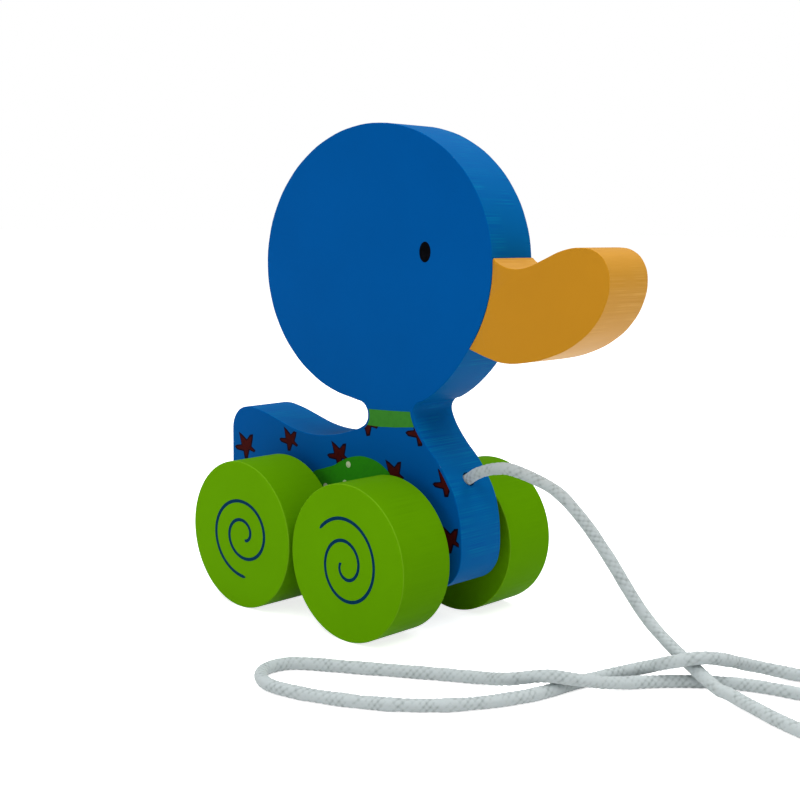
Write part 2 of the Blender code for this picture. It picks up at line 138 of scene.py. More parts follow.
def satinPaint(look):
    # Two coats of satin paint on a sawn and sanded board: the flat faces are even,
    # the rims keep the marks of the saw across the thickness, and the rounded edges wear thin.
    # The darker tone on the green wheels' treads is painted shade, and the light line round their edges is
    # partly painted highlight
    material, tree, shader = newMaterial(look["name"])
    place = addNode(tree, "ShaderNodeTexCoord").outputs["Object"]
    normal = addNode(tree, "ShaderNodeNewGeometry").outputs["Normal"]
    across = addNode(tree, "ShaderNodeSeparateXYZ", links={0: normal}).outputs["Y"]
    facing = addNode(tree, "ShaderNodeMath", {"operation": "ABSOLUTE"}, {0: across}).outputs[0]
    rim = addNode(tree, "ShaderNodeMapRange",
                  {"From Min": 0.35, "From Max": 0.9, "To Min": 1.0, "To Max": 0.0},
                  {"Value": facing}).outputs[0]
    sawScale = (1 / paintWear["sawMark"], 1 / paintWear["markRun"], 1 / paintWear["sawMark"])
    sawPlace = addNode(tree, "ShaderNodeMapping", {"Scale": sawScale}, {"Vector": place}).outputs[0]
    saw = addNode(tree, "ShaderNodeTexNoise", {"Scale": 1.0, "Detail": 3.0, "Roughness": 0.65},
                  {"Vector": sawPlace}).outputs["Fac"]
    cloud = addNode(tree, "ShaderNodeTexNoise", {"Scale": 1 / paintWear["brushCloud"], "Detail": 3.0},
                    {"Vector": place}).outputs["Fac"]
    # streaks in patches on the rims and an even rim tone: lighter on the blue and orange paint, where the
    # paint lies thin over the saw's marks, and darker on the green wheels' treads, which is painted shade
    streakAndShading = addNode(tree, "ShaderNodeMapRange",
                     {"From Min": 0.42, "From Max": 0.72,
                      "To Min": -0.25 * look["streakShow"], "To Max": look["streakShow"]},
                     {"Value": saw}).outputs[0]
    patches = addNode(tree, "ShaderNodeTexNoise", {"Scale": 1 / paintWear["patch"], "Detail": 1.0},
                      {"Vector": place}).outputs["Fac"]
    patchy = addNode(tree, "ShaderNodeMapRange", {"From Min": 0.40, "From Max": 0.64},
                     {"Value": patches}).outputs[0]
    marked = addNode(tree, "ShaderNodeMath", {"operation": "MULTIPLY"}, {0: rim, 1: patchy}).outputs[0]
    thinPaintAndShade = addNode(tree, "ShaderNodeMath", {"operation": "MULTIPLY_ADD", 2: look["rimShow"]},
                        {0: streakAndShading, 1: patchy}).outputs[0]
    onRim = addNode(tree, "ShaderNodeMath", {"operation": "MULTIPLY"}, {0: thinPaintAndShade, 1: rim}).outputs[0]
    faceColour = linear(look["face"])
    cloudColour = tuple(paintWear["cloudTone"] * c for c in faceColour)
    face = addNode(tree, "ShaderNodeMix", {"data_type": "RGBA", 6: faceColour, 7: cloudColour},
                   {0: cloud}).outputs[2]
    streaked = addNode(tree, "ShaderNodeMix", {"data_type": "RGBA", 7: linear(look["streakAndShading"])},
                       {0: onRim, 6: face}).outputs[2]
    # edges: a few chips of lighter paint from wear, and on the green wheels a thin light line all round that
    # is partly painted highlight
    edge = addNode(tree, "ShaderNodeValToRGB", links={0: facing})
    ramp = edge.color_ramp
    ramp.elements[0].position, ramp.elements[1].position = 0.2, 0.97
    ramp.elements[0].color = ramp.elements[1].color = (0, 0, 0, 1)
    ramp.elements.new(0.62).color = (1, 1, 1, 1)
    chips = addNode(tree, "ShaderNodeTexNoise", {"Scale": 1 / paintWear["chip"], "Detail": 2.0},
                    {"Vector": place}).outputs["Fac"]
    chipped = addNode(tree, "ShaderNodeMapRange",
                      {"From Min": 0.66, "From Max": 0.76,
                       "To Min": look["rubbedAndHighlit"], "To Max": look["rubbedAndHighlit"] + look["chipped"]},
                      {"Value": chips}).outputs[0]
    rubbedAndHighlit = addNode(tree, "ShaderNodeMath", {"operation": "MULTIPLY"},
                     {0: chipped, 1: edge.outputs["Color"]}).outputs[0]
    colour = addNode(tree, "ShaderNodeMix", {"data_type": "RGBA", 7: linear(look["wearAndPaintedLight"])},
                     {0: rubbedAndHighlit, 6: streaked}).outputs[2]
    gloss = addNode(tree, "ShaderNodeMapRange",
                    {"To Min": look["roughness"] - 0.06, "To Max": look["roughness"] + 0.12},
                    {"Value": saw}).outputs[0]
    relief = addNode(tree, "ShaderNodeMath", {"operation": "MULTIPLY_ADD", 1: 0.9, 2: 0.05},
                     {0: marked}).outputs[0]
    height = addNode(tree, "ShaderNodeMath", {"operation": "MULTIPLY"}, {0: relief, 1: saw}).outputs[0]
    bump = addNode(tree, "ShaderNodeBump",
                   {"Strength": paintWear["markBump"], "Distance": paintWear["markDepth"]},
                   {"Height": height})
    tree.links.new(colour, shader.inputs["Base Color"])
    tree.links.new(gloss, shader.inputs["Roughness"])
    tree.links.new(bump.outputs[0], shader.inputs["Normal"])
    shader.inputs["IOR"].default_value = look["index"]
    shader.inputs["Specular IOR Level"].default_value = look["sheen"]
    shader.inputs["Specular Tint"].default_value = linear(look["specular"])
    return material


inks = {
    "red": {"name": "starRedInk", "colour": "#42100F", "thin": "#360C0E"},
    "outline": {"name": "starOutlineInk", "colour": "#1A0812", "thin": "#100A1C"},
    "wing": {"name": "wingGreenInk", "colour": "#2A8414", "thin": "#277A16"},
    "collar": {"name": "collarGreenInk", "colour": "#3A822C", "thin": "#357A2A"},
    "dot": {"name": "dotCreamInk", "colour": "#C0CCA8", "thin": "#86A878"},
    "eye": {"name": "eyeBlackInk", "colour": "#050507", "thin": "#0B0B10"},
    "spiral": {"name": "spiralBlueInk", "colour": "#002F4C", "thin": "#023752"},
}
inkFilm = {"cloud": 1.1 * mm, "index": 1.25, "sheen": 0.03}


def padPrintedInk(look):
    # Ink laid on the paint with a soft pad: slightly uneven, thin in places, and duller than the paint
    material, tree, shader = newMaterial(look["name"])
    place = addNode(tree, "ShaderNodeTexCoord").outputs["Object"]
    cloud = addNode(tree, "ShaderNodeTexNoise", {"Scale": 1 / inkFilm["cloud"], "Detail": 4.0},
                    {"Vector": place}).outputs["Fac"]
    thin = addNode(tree, "ShaderNodeMapRange", {"From Min": 0.45, "From Max": 0.75},
                   {"Value": cloud}).outputs[0]
    colour = addNode(tree, "ShaderNodeMix", {"data_type": "RGBA", 6: linear(look["colour"]),
                                             7: linear(look["thin"])}, {0: thin}).outputs[2]
    gloss = addNode(tree, "ShaderNodeMapRange", {"To Min": 0.3, "To Max": 0.48},
                    {"Value": cloud}).outputs[0]
    bump = addNode(tree, "ShaderNodeBump", {"Strength": 0.2, "Distance": 0.01 * mm}, {"Height": cloud})
    tree.links.new(colour, shader.inputs["Base Color"])
    tree.links.new(gloss, shader.inputs["Roughness"])
    tree.links.new(bump.outputs[0], shader.inputs["Normal"])
    shader.inputs["IOR"].default_value = inkFilm["index"]
    shader.inputs["Specular IOR Level"].default_value = inkFilm["sheen"]
    return material


beechLook = {"light": "#D9B48A", "dark": "#B98A5E", "fleck": "#9C6E45",
             "grain": 1.4 * mm, "fleckSize": 0.6 * mm}


def sandedBeech():
    # Turned beech dowel, sanded and bare: pale pinkish brown, grain along the dowel, short dark ray flecks
    material, tree, shader = newMaterial("sandedBeech")
    place = addNode(tree, "ShaderNodeTexCoord").outputs["Object"]
    along = addNode(tree, "ShaderNodeMapping", {"Scale": (1, 0.08, 1)}, {"Vector": place}).outputs[0]
    grain = addNode(tree, "ShaderNodeTexNoise", {"Scale": 1 / beechLook["grain"], "Detail": 5.0},
                    {"Vector": along}).outputs["Fac"]
    fleckPlace = addNode(tree, "ShaderNodeMapping", {"Scale": (1, 0.25, 1)}, {"Vector": place}).outputs[0]
    cells = addNode(tree, "ShaderNodeTexVoronoi", {"Scale": 1 / beechLook["fleckSize"]},
                    {"Vector": fleckPlace}).outputs["Distance"]
    fleck = addNode(tree, "ShaderNodeMapRange",
                    {"From Min": 0.05, "From Max": 0.22, "To Min": 0.7, "To Max": 0.0},
                    {"Value": cells}).outputs[0]
    wood = addNode(tree, "ShaderNodeMix", {"data_type": "RGBA", 6: linear(beechLook["light"]),
                                           7: linear(beechLook["dark"])}, {0: grain}).outputs[2]
    colour = addNode(tree, "ShaderNodeMix", {"data_type": "RGBA", 7: linear(beechLook["fleck"])},
                     {0: fleck, 6: wood}).outputs[2]
    gloss = addNode(tree, "ShaderNodeMapRange", {"To Min": 0.5, "To Max": 0.7},
                    {"Value": grain}).outputs[0]
    bump = addNode(tree, "ShaderNodeBump", {"Strength": 0.3, "Distance": 0.04 * mm}, {"Height": grain})
    tree.links.new(colour, shader.inputs["Base Color"])
    tree.links.new(gloss, shader.inputs["Roughness"])
    tree.links.new(bump.outputs[0], shader.inputs["Normal"])
    return material


cottonLook = {"crown": "#B6BFC0", "grooveShade": "#7E8887", "dust": "#AEB4B0",
              "fibre": 0.16 * mm, "lint": 1.6 * mm, "sheen": 0.25}


def braidedCotton():
    # Soft white cotton braid: matt, grey in the grooves between the strands as painted shade, fine fibres
    # along them
    material, tree, shader = newMaterial("braidedCotton")
    place = addNode(tree, "ShaderNodeTexCoord").outputs["Object"]
    crown = addNode(tree, "ShaderNodeAttribute", {"attribute_name": "crown"}).outputs["Fac"]
    fibre = addNode(tree, "ShaderNodeTexNoise", {"Scale": 1 / cottonLook["fibre"], "Detail": 3.0},
                    {"Vector": place}).outputs["Fac"]
    lint = addNode(tree, "ShaderNodeTexNoise", {"Scale": 1 / cottonLook["lint"], "Detail": 3.0},
                   {"Vector": place}).outputs["Fac"]
    # how high the braid stands, with the fibres, sets the yarn's tone: the grey of the grooves is painted
    # shade
    wearAndPaintedLight = addNode(tree, "ShaderNodeMath", {"operation": "MULTIPLY_ADD", 1: 0.45},
                   {0: fibre, 2: crown}).outputs[0]
    shade = addNode(tree, "ShaderNodeMapRange", {"From Min": 0.15, "From Max": 1.0},
                    {"Value": wearAndPaintedLight}).outputs[0]
    yarn = addNode(tree, "ShaderNodeMix", {"data_type": "RGBA", 6: linear(cottonLook["grooveShade"]),
                                           7: linear(cottonLook["crown"])}, {0: shade}).outputs[2]
    dust = addNode(tree, "ShaderNodeMapRange",
                   {"From Min": 0.55, "From Max": 0.8, "To Max": 0.25}, {"Value": lint}).outputs[0]
    colour = addNode(tree, "ShaderNodeMix", {"data_type": "RGBA", 7: linear(cottonLook["dust"])},
                     {0: dust, 6: yarn}).outputs[2]
    rough = addNode(tree, "ShaderNodeMapRange", {"To Min": 0.8, "To Max": 0.98},
                    {"Value": fibre}).outputs[0]
    bump = addNode(tree, "ShaderNodeBump", {"Strength": 0.6, "Distance": 0.06 * mm}, {"Height": fibre})
    tree.links.new(colour, shader.inputs["Base Color"])
    tree.links.new(rough, shader.inputs["Roughness"])
    tree.links.new(bump.outputs[0], shader.inputs["Normal"])
    shader.inputs["Sheen Weight"].default_value = cottonLook["sheen"]
    shader.inputs["Sheen Roughness"].default_value = 0.5
    return material


blue, orange, green = (satinPaint(paints[name]) for name in ("blue", "orange", "green"))
ink = {name: padPrintedInk(look) for name, look in inks.items()}
beech = sandedBeech()
cotton = braidedCotton()
print("materials ready")


# Camera, first of all: the side of the duck that the photograph shows

camera = {"azimuth": 43.864, "elevation": 7.8252, "roll": 0.6401, "distance": 355.85 * mm,
          "aim": (-5.11 * mm, 0, 60.27 * mm), "lens": 57.65, "sensor": 36}


def placeCamera():
    azimuth, elevation, roll = (math.radians(camera[key]) for key in ("azimuth", "elevation", "roll"))
    back = Vector((math.sin(azimuth) * math.cos(elevation), -math.cos(azimuth) * math.cos(elevation),
                   math.sin(elevation)))
    data = bpy.data.cameras.new("studioCamera")
    data.lens, data.sensor_width = camera["lens"], camera["sensor"]
    data.clip_start, data.clip_end = 1 * mm, 100
    eye = bpy.data.objects.new("studioCamera", data)
    scene.collection.objects.link(eye)
    level = (-back).to_track_quat("-Z", "Y").to_matrix().to_4x4()
    turned = level @ Matrix.Rotation(roll, 4, "Z")
    eye.matrix_world = Matrix.Translation(Vector(camera["aim"]) + back * camera["distance"]) @ turned
    scene.camera = eye


placeCamera()
print("camera placed")


# Pull cord and its knot

cord = {"diameter": 3.2 * mm, "holeDepth": 12.7 * mm, "lead": 3.8 * mm, "tilt": math.radians(32),
        "step": 0.2 * mm, "sides": 32, "strands": 5, "braidTurn": 8.5 * mm,
        "strandCrown": 0.14 * mm, "strandWave": 0.07 * mm, "lumps": 0.12 * mm,
        "lumpRun": 5 * mm, "slip": 0.9 * mm, "slack": 2.4 * mm}
cordMouth = Vector((20.547, 0, 41.742)) * mm
cordHeading = Vector((math.cos(cord["tilt"]), 0, math.sin(cord["tilt"])))
cordRoute = [
    (0.0295, 0.0001, 0.0457), (0.0360, 0.0005, 0.0460), (0.0470, 0.0024, 0.0425),
    (0.0540, 0.0045, 0.0362), (0.0605, 0.0066, 0.0278), (0.0730, 0.0087, 0.0120),
    (0.0928, 0.0037, 0.0034), (0.0990, 0.0028, 0.0022), (0.1165, -0.0031, 0.0016),
    (0.1305, -0.0054, 0.0016), (0.1388, -0.0002, 0.0016), (0.1390, 0.0081, 0.0016),
    (0.1325, 0.0143, 0.0016), (0.1200, 0.0178, 0.0016), (0.0985, 0.0136, 0.0016),
    (0.0840, 0.0030, 0.0016), (0.0747, -0.0098, 0.0021), (0.0713, -0.0176, 0.0039),
    (0.0660, -0.0242, 0.0052), (0.0575, -0.0276, 0.0031), (0.0480, -0.0298, 0.0017),
    (0.0216, -0.0464, 0.0016), (0.0145, -0.0509, 0.0016), (0.0102, -0.0552, 0.0016),
    (0.0097, -0.0615, 0.0016), (0.0140, -0.0661, 0.0016), (0.0212, -0.0674, 0.0016),
    (0.0340, -0.0634, 0.0016), (0.0480, -0.0552, 0.0016), (0.0585, -0.0440, 0.0016),
    (0.0655, -0.0290, 0.0016), (0.0684, -0.0130, 0.0016), (0.0715, -0.0043, 0.0021),
    (0.0772, 0.0007, 0.0040), (0.0838, 0.0011, 0.0068), (0.0889, 0.0042, 0.0083),
    (0.0917, 0.0101, 0.0073), (0.0940, 0.0222, 0.0032), (0.1050, 0.0288, 0.0017),
    (0.1141, 0.0276, 0.0042),
]


def braidHeight(around, along):
    # Plain braid: strands wind both ways round the cord, each going over one and under the next
    turns = along / cord["braidTurn"]
    right = cord["strands"] * (around + turns)
    left = cord["strands"] * (around - turns)
    rightStrand, leftStrand = np.round(right), np.round(left)
    over = cord["strandCrown"] * np.cos(np.pi * (right - rightStrand))
    over = over + cord["strandWave"] * np.cos(np.pi * (left + rightStrand))
    under = 0.75 * cord["strandCrown"] * np.cos(np.pi * (left - leftStrand))
    under = under - cord["strandWave"] * np.cos(np.pi * (right + leftStrand))
    return np.maximum(over, under)


def braidedTube(name, line, radius, body, replaced):
    curve = bpy.data.curves.new(name, "CURVE")
    curve.dimensions = "3D"
    highest = cord["strandCrown"] + cord["strandWave"]
    curve.bevel_depth = radius - highest
    curve.bevel_resolution = cord["sides"] // 2 - 2
    curve.use_fill_caps = True
    spline = curve.splines.new("POLY")
    spline.points.add(len(line) - 1)
    for knot, point in zip(spline.points, line):
        knot.co = (*point, 1)
    guide = bpy.data.objects.new(name + "_guide", curve)
    scene.collection.objects.link(guide)
    graph = bpy.context.evaluated_depsgraph_get()
    mesh = bpy.data.meshes.new_from_object(guide.evaluated_get(graph))
    bpy.data.objects.remove(guide, do_unlink=True)
    # raise the strands of the braid out of the smooth tube
    count = len(line) * cord["sides"]
    place = np.empty(len(mesh.vertices) * 3, np.float32)
    mesh.vertices.foreach_get("co", place)
    place = place.reshape(-1, 3)
    rings = place[:count].reshape(len(line), cord["sides"], 3)
    centre = rings.mean(1, keepdims=True)
    outward = rings - centre
    outward = outward / np.linalg.norm(outward, axis=2, keepdims=True)
    reach = np.arange(len(line)) * cord["step"]
    lumps, slip = (np.array([noise.noise((at / cord["lumpRun"], row, 0.5)) for at in reach])[:, None]
                   for row in (0.5, 7.5))
    around = np.arange(cord["sides"])[None, :] / cord["sides"]
    height = braidHeight(around, reach[:, None] + cord["slip"] * slip)
    # the braid is tight in places and flattened by handling in others
    tight = [0.7 + 0.9 * noise.noise(Vector(spot) / cord["slack"]) for spot in place[:count].tolist()]
    tight = np.clip(tight, 0.15, 1).reshape(height.shape)
    top = cord["strandCrown"] + cord["strandWave"]
    height = top - (top - height) * tight
    ends = np.minimum(1, np.minimum(np.arange(len(line)), np.arange(len(line))[::-1]) / 6)[:, None]
    place[:count] = (rings + outward * ((height + cord["lumps"] * lumps) * ends)[:, :, None]).reshape(-1, 3)
    mesh.vertices.foreach_set("co", place.ravel())
    # the braid's height, used to paint shade into its grooves
    crown = np.zeros(len(mesh.vertices), np.float32)
    crown[:count] = np.clip(height / top, 0, 1).ravel()
    mesh.attributes.new("crown", "FLOAT", "POINT").data.foreach_set("value", crown)
    bm = bmesh.new()
    bm.from_mesh(mesh)
    bmesh.ops.remove_doubles(bm, verts=bm.verts, dist=weld)
    bmesh.ops.recalc_face_normals(bm, faces=bm.faces)
    bpy.data.meshes.remove(mesh)
    return newPiece(name, bm, cotton, body, replaced, 80)


def layCord():
    radius = cord["diameter"] / 2
    reaches = (-cord["holeDepth"], -cord["holeDepth"] / 2, 0, cord["lead"])
    line = smoothLine([cordMouth + cordHeading * reach for reach in reaches] + cordRoute, cord["step"])
    for point in line:
        point.z = max(point.z, radius + cord["lumps"] / 2)
    return line, braidedTube("braided_cord", line, radius, "root", ["pull_cord"])


cordLine, pullCord = layCord()

knot = {"turns": 2.0, "coilRadius": 2.45 * mm, "strandRadius": 1.5 * mm, "pitch": 2.6 * mm,
        "tail": 4.5 * mm}


def tieKnot():
    # Overhand knot with an extra wrap: in along the axis, back in turns round itself, out as a tail
    low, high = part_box("end_knot")
    centre = (low + high) / 2
    heading = cordLine[-1] - cordLine[-12]
    heading.z = 0
    heading.normalize()
    side = Vector((-heading.y, heading.x, 0))
    up = Vector((0, 0, 1))
    wrap = knot["turns"] * knot["pitch"]
    points = [cordLine[-1], centre - heading * wrap / 2]
    points += [centre, centre + heading * wrap * 0.5]
    count = round(knot["turns"] * 10)
    for step in range(count + 1):
        angle = 2 * math.pi * knot["turns"] * step / count
        ring = side * math.cos(angle) + up * math.sin(angle)
        points.append(centre + ring * knot["coilRadius"] + heading * wrap * (0.5 - step / count))
    points += [centre - heading * wrap * 0.45 - up * 0.6 * mm, centre - up * 0.8 * mm,
               centre + heading * wrap * 0.62 - up * 1.2 * mm,
               centre + heading * (wrap * 0.62 + knot["tail"]) - up * 2.4 * mm]
    line = smoothLine(points, cord["step"])
    return braidedTube("overhand_knot", line, knot["strandRadius"], "root", ["end_knot"])


endKnot = tieKnot()
print("knot tied")


# Sawn pieces: the board and the beak

sawing = {"join": 0.25 * mm, "edge": 0.25 * mm, "edgeSteps": 4, "rimCuts": 11, "beside": 4 * mm,
          "fit": 0.3 * mm, "cordFit": 0.4 * mm, "boreSteps": 40}


def sawnPiece(name, node, holes, glued, material):
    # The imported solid's outline, taken beside its bored middle, sawn again from a board with rounded edges
    low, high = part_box(node)
    bm = bmesh.new()
    bm.from_mesh(frame["nodes"][node].data)
    bmesh.ops.remove_doubles(bm, verts=bm.verts, dist=weld)
    bmesh.ops.bisect_plane(bm, geom=bm.verts[:] + bm.edges[:] + bm.faces[:],
                           clear_inner=True, clear_outer=True,
                           plane_co=(0, sawing["beside"], 0), plane_no=(0, 1, 0))
    flat = Vector((1, 0, 1))
    inHole = [v for v in bm.verts for end, start, radius in holes
              if abs((end - start).normalized().y) > 0.9
              and ((v.co - start) * flat).length < 1.5 * radius]
    bmesh.ops.delete(bm, geom=inHole, context="VERTS")
    inLine = [v for v in bm.verts if v.calc_edge_angle() < math.radians(0.05)]
    bmesh.ops.dissolve_verts(bm, verts=inLine)
    bmesh.ops.remove_doubles(bm, verts=bm.verts, dist=sawing["join"])
    bmesh.ops.contextual_create(bm, geom=bm.edges[:])
    bmesh.ops.translate(bm, verts=bm.verts, vec=(0, low.y - sawing["beside"], 0))
    grown = bmesh.ops.extrude_face_region(bm, geom=bm.faces[:])["geom"]
    far = [v for v in grown if isinstance(v, bmesh.types.BMVert)]
    bmesh.ops.translate(bm, verts=far, vec=(0, high.y - low.y, 0))
    bmesh.ops.recalc_face_normals(bm, faces=bm.faces)
    rims = [e for e in bm.edges if abs(e.verts[0].co.y - e.verts[1].co.y) < weld
            and max(f.normal.dot(glued) for f in e.link_faces) < 0.6]
    bmesh.ops.bevel(bm, geom=rims, offset=sawing["edge"], offset_type="OFFSET", affect="EDGES",
                    segments=sawing["edgeSteps"], profile=0.5, material=-1)
    across = [e for e in bm.edges if e.calc_length() > (high.y - low.y) * 0.8
              and abs((e.verts[0].co - e.verts[1].co).y) > e.calc_length() * 0.99]
    bmesh.ops.subdivide_edges(bm, edges=across, cuts=sawing["rimCuts"], use_grid_fill=True)
    bmesh.ops.triangulate(bm, faces=[f for f in bm.faces if len(f.verts) > 8])
    piece = newPiece(name, bm, material, "root", [node])
    drills = [drill(start, end, radius) for start, end, radius in holes]
    for bit in drills:
        bore = piece.modifiers.new("bore", "BOOLEAN")
        bore.operation = "DIFFERENCE"
        bore.object = bit
    graph = bpy.context.evaluated_depsgraph_get()
    piece.data = bpy.data.meshes.new_from_object(piece.evaluated_get(graph))
    piece.modifiers.clear()
    for bit in drills:
        bpy.data.objects.remove(bit, do_unlink=True)
    even = piece.modifiers.new("even shading", "WEIGHTED_NORMAL")
    even.keep_sharp = True
    return piece


def drill(start, end, radius):
    bm = bmesh.new()
    bmesh.ops.create_cone(bm, cap_ends=True, segments=sawing["boreSteps"], radius1=radius, radius2=radius,
                          depth=(end - start).length)
    turn = (end - start).to_track_quat("Z", "Y").to_matrix().to_4x4()
    bmesh.ops.transform(bm, matrix=Matrix.Translation((start + end) / 2) @ turn, verts=bm.verts)
    mesh = bpy.data.meshes.new("drill")
    bm.to_mesh(mesh)
    bm.free()
    bit = bpy.data.objects.new("drill", mesh)
    scene.collection.objects.link(bit)
    return bit


def boredHoles():
    # (start, end, radius) of the axle holes, the beak's pin holes and the cord's hole
    axles, pins = [], []
    for node in ("front_axle", "rear_axle"):
        low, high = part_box(node)
        middle, reach = (low + high) / 2, Vector((0, high.y, 0))
        axles.append((middle - reach, middle + reach, (high.z - low.z) / 2 + sawing["fit"]))
    for node in ("beak_dowel_upper", "beak_dowel_lower"):
        low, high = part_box(node)
        middle, reach = (low + high) / 2, Vector(((high.x - low.x) / 2 + sawing["fit"], 0, 0))
        pins.append((middle - reach, middle + reach, (high.z - low.z) / 2 + sawing["fit"]))
    depth = cordHeading * (cord["holeDepth"] + sawing["fit"])
    return axles, pins, [(cordMouth - depth, cordMouth + depth, cord["diameter"] / 2 + sawing["cordFit"])]


axleHoles, pinHoles, cordHole = boredHoles()
glueSide = Vector((-1, 0, 0))  # the beak's root keeps its sharp edges
sawnPiece("sawn_board", "body_board", axleHoles + pinHoles + cordHole, Vector(), blue)
sawnPiece("sawn_beak", "beak", pinHoles, glueSide, orange)
print("board and beak sawn")


# Turned pieces: wheels, axles and spacing rings

turning = {"wheelSteps": 144, "dowelSteps": 48, "wheelEdge": 0.4 * mm, "ringEdge": 0.35 * mm,
           "edgeSteps": 4, "fit": 0.3 * mm}


def turnedPiece(name, profile, closed, steps, edge, hub, material, body, replaced):
    # A profile of (radius, place along the axle) spun about the axle, with its corners rounded
    bm = bmesh.new()
    verts = [bm.verts.new((radius, along, 0)) for radius, along in profile]
    pairs = list(zip(verts, verts[1:])) + ([(verts[-1], verts[0])] if closed else [])
    edges = [bm.edges.new(pair) for pair in pairs]
    bmesh.ops.spin(bm, geom=verts + edges, cent=(0, 0, 0), axis=(0, 1, 0), angle=2 * math.pi,
                   steps=steps, use_merge=True)
    bmesh.ops.remove_doubles(bm, verts=bm.verts, dist=weld)
    bmesh.ops.recalc_face_normals(bm, faces=bm.faces)
    corners = [e for e in bm.edges if len(e.link_faces) == 2 and e.calc_face_angle() > math.radians(50)]
    bmesh.ops.bevel(bm, geom=corners, offset=edge, offset_type="OFFSET", affect="EDGES",
                    segments=turning["edgeSteps"], profile=0.5, material=-1)
    bmesh.ops.translate(bm, verts=bm.verts, vec=(hub.x, 0, hub.z))
    piece = newPiece(name, bm, material, body, replaced)
    even = piece.modifiers.new("even shading", "WEIGHTED_NORMAL")
    even.keep_sharp = True
    return piece


def turnWheelset(end):
    body = end + "_wheelset"
    axleLow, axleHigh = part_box(end + "_axle")
    hub = (axleLow + axleHigh) / 2
    axleRadius = (axleHigh.z - axleLow.z) / 2
    dowel = [(0, axleLow.y), (axleRadius, axleLow.y), (axleRadius, axleHigh.y), (0, axleHigh.y)]
    turnedPiece(f"{end}_dowel", dowel, False, turning["dowelSteps"], turning["ringEdge"], hub, beech, body,
                [end + "_axle"])
    bore = axleRadius + turning["fit"]
    for side, sign in (("right", -1), ("left", 1)):
        low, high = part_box(f"wheel_{end}_{side}")
        inner, outer = sorted((low.y, high.y), key=abs)
        seat = sign * (axleHigh.y + turning["fit"])
        radius = (high.z - low.z) / 2
        wheel = [(0, outer), (radius, outer), (radius, inner), (bore, inner), (bore, seat), (0, seat)]
        turnedPiece(f"turned_wheel_{end}_{side}", wheel, False, turning["wheelSteps"], turning["wheelEdge"],
                    hub, green, body, [f"wheel_{end}_{side}"])
        low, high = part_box(f"spacer_{end}_{side}")
        rimRadius = (high.z - low.z) / 2
        ring = [(bore, low.y), (rimRadius, low.y), (rimRadius, high.y), (bore, high.y)]
        turnedPiece(f"turned_ring_{end}_{side}", ring, True, turning["dowelSteps"], turning["ringEdge"],
                    hub, beech, body, [f"spacer_{end}_{side}"])


for end in ("front", "rear"):
    turnWheelset(end)
for place in ("upper", "lower"):
    pin = frame["nodes"]["beak_dowel_" + place].data.materials
    pin.clear()
    pin.append(beech)
print("wheels turned")


# Printed figures: thin films of ink on both faces of the board and on the wheels.
# Places are millimetres along x from the front axle and up from the floor

film = {"sunk": 0.02 * mm, "ink": 0.02 * mm}
stars = {"outline": [(-3.2, 3.9), (-1.6, 3.3), (0.5, 2.05), (1.9, 3.6), (3.3, 3.9), (3.1, 2.2), (2.6, 0.3),
                     (4.4, -0.7), (3.8, -1.4), (1.7, -0.95), (0.9, -3.5), (-0.5, -3.7), (-1.1, -1.6),
                     (-4.0, -1.5), (-5.0, -0.7), (-4.2, -0.1), (-2.0, 0.3), (-2.5, 2.0)],
         "fill": [(-2.7, 3.15), (-1.7, 2.8), (0.45, 1.6), (2.0, 3.0), (2.75, 3.15), (2.6, 2.1), (2.15, 0.2),
                  (3.8, -0.75), (3.5, -1.0), (1.35, -0.6), (0.5, -2.9), (-0.15, -3.0), (-0.75, -1.2),
                  (-3.7, -1.05), (-4.3, -0.7), (-3.9, -0.45), (-1.55, 0.1), (-2.05, 1.8)],
         "corner": 0.12,
         "places": [(-67.1, 40.8, 0, 1.06), (-46.9, 45.2, -6, 0.9), (-25.8, 43.6, 0, 0.96),
                    (-14.3, 54.0, 4, 0.98), (5.5, 53.9, 0, 1.05), (-4.1, 41.3, 2, 0.94),
                    (15.2, 41.3, 0, 0.96), (16.6, 26.4, 0, 0.96)]}
wing = {"outline": [(-36.5, 37.0), (-31.4, 39.1), (-27.7, 40.4), (-23.5, 42.6), (-20.4, 43.8),
                    (-16.8, 44.5), (-13.5, 44.4), (-10.7, 43.9), (-8.0, 42.8), (-5.3, 40.9),
                    (-3.5, 37.0), (-4.2, 32.0), (-9.0, 28.2), (-17.0, 27.2), (-26.0, 29.4),
                    (-33.5, 33.4)],
        "step": 0.6,
        "dots": [(-21.7, 41.4), (-23.1, 35.9), (-31.1, 33.8), (-14.5, 36.0), (-15.2, 30.6)],
        "dotRadius": 0.92}
collar = {"corners": [(-20.0, 53.4), (-15.1, 53.6), (-9.3, 53.6), (-3.6, 54.1), (2.9, 54.9), (7.0, 55.5),
                      (7.0, 59.3), (2.2, 59.0), (-5.6, 58.5), (-13.4, 58.1), (-20.0, 57.8)]}
eye = {"centre": (6.55, 101.55), "half": (2.0, 2.7)}
frontHub = Vector(frame["joints"][0]["pos_m"])
boardLow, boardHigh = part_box("body_board")


def onBoard(point):
    return Vector((frontHub.x + point[0] * mm, 0, point[1] * mm))


def flatFigure(bm, points):
    verts = [bm.verts.new(point) for point in points]
    return bm.faces.new(verts)


def addStar(bm, place, shape):
    # One stamp for all, each a little turned and pressed more or less wide
    x, z, turn, size = place
    spot = Matrix.Translation(onBoard((x, z))) @ upright @ Matrix.Rotation(math.radians(turn), 4, "Z")
    star = flatFigure(bm, [spot @ Vector((u * size * mm, v * size * mm, 0)) for u, v in shape])
    bmesh.ops.bevel(bm, geom=star.verts[:], offset=stars["corner"] * mm, offset_type="OFFSET",
                    affect="VERTICES", segments=2, profile=0.5, material=-1)


def addDisc(bm, centre, half):
    made = bmesh.ops.create_circle(bm, cap_ends=True, segments=40, radius=1.0)["verts"]
    size = Matrix.Diagonal((half[0] * mm, half[1] * mm, 1, 1))
    bmesh.ops.transform(bm, matrix=Matrix.Translation(onBoard(centre)) @ upright @ size, verts=made)


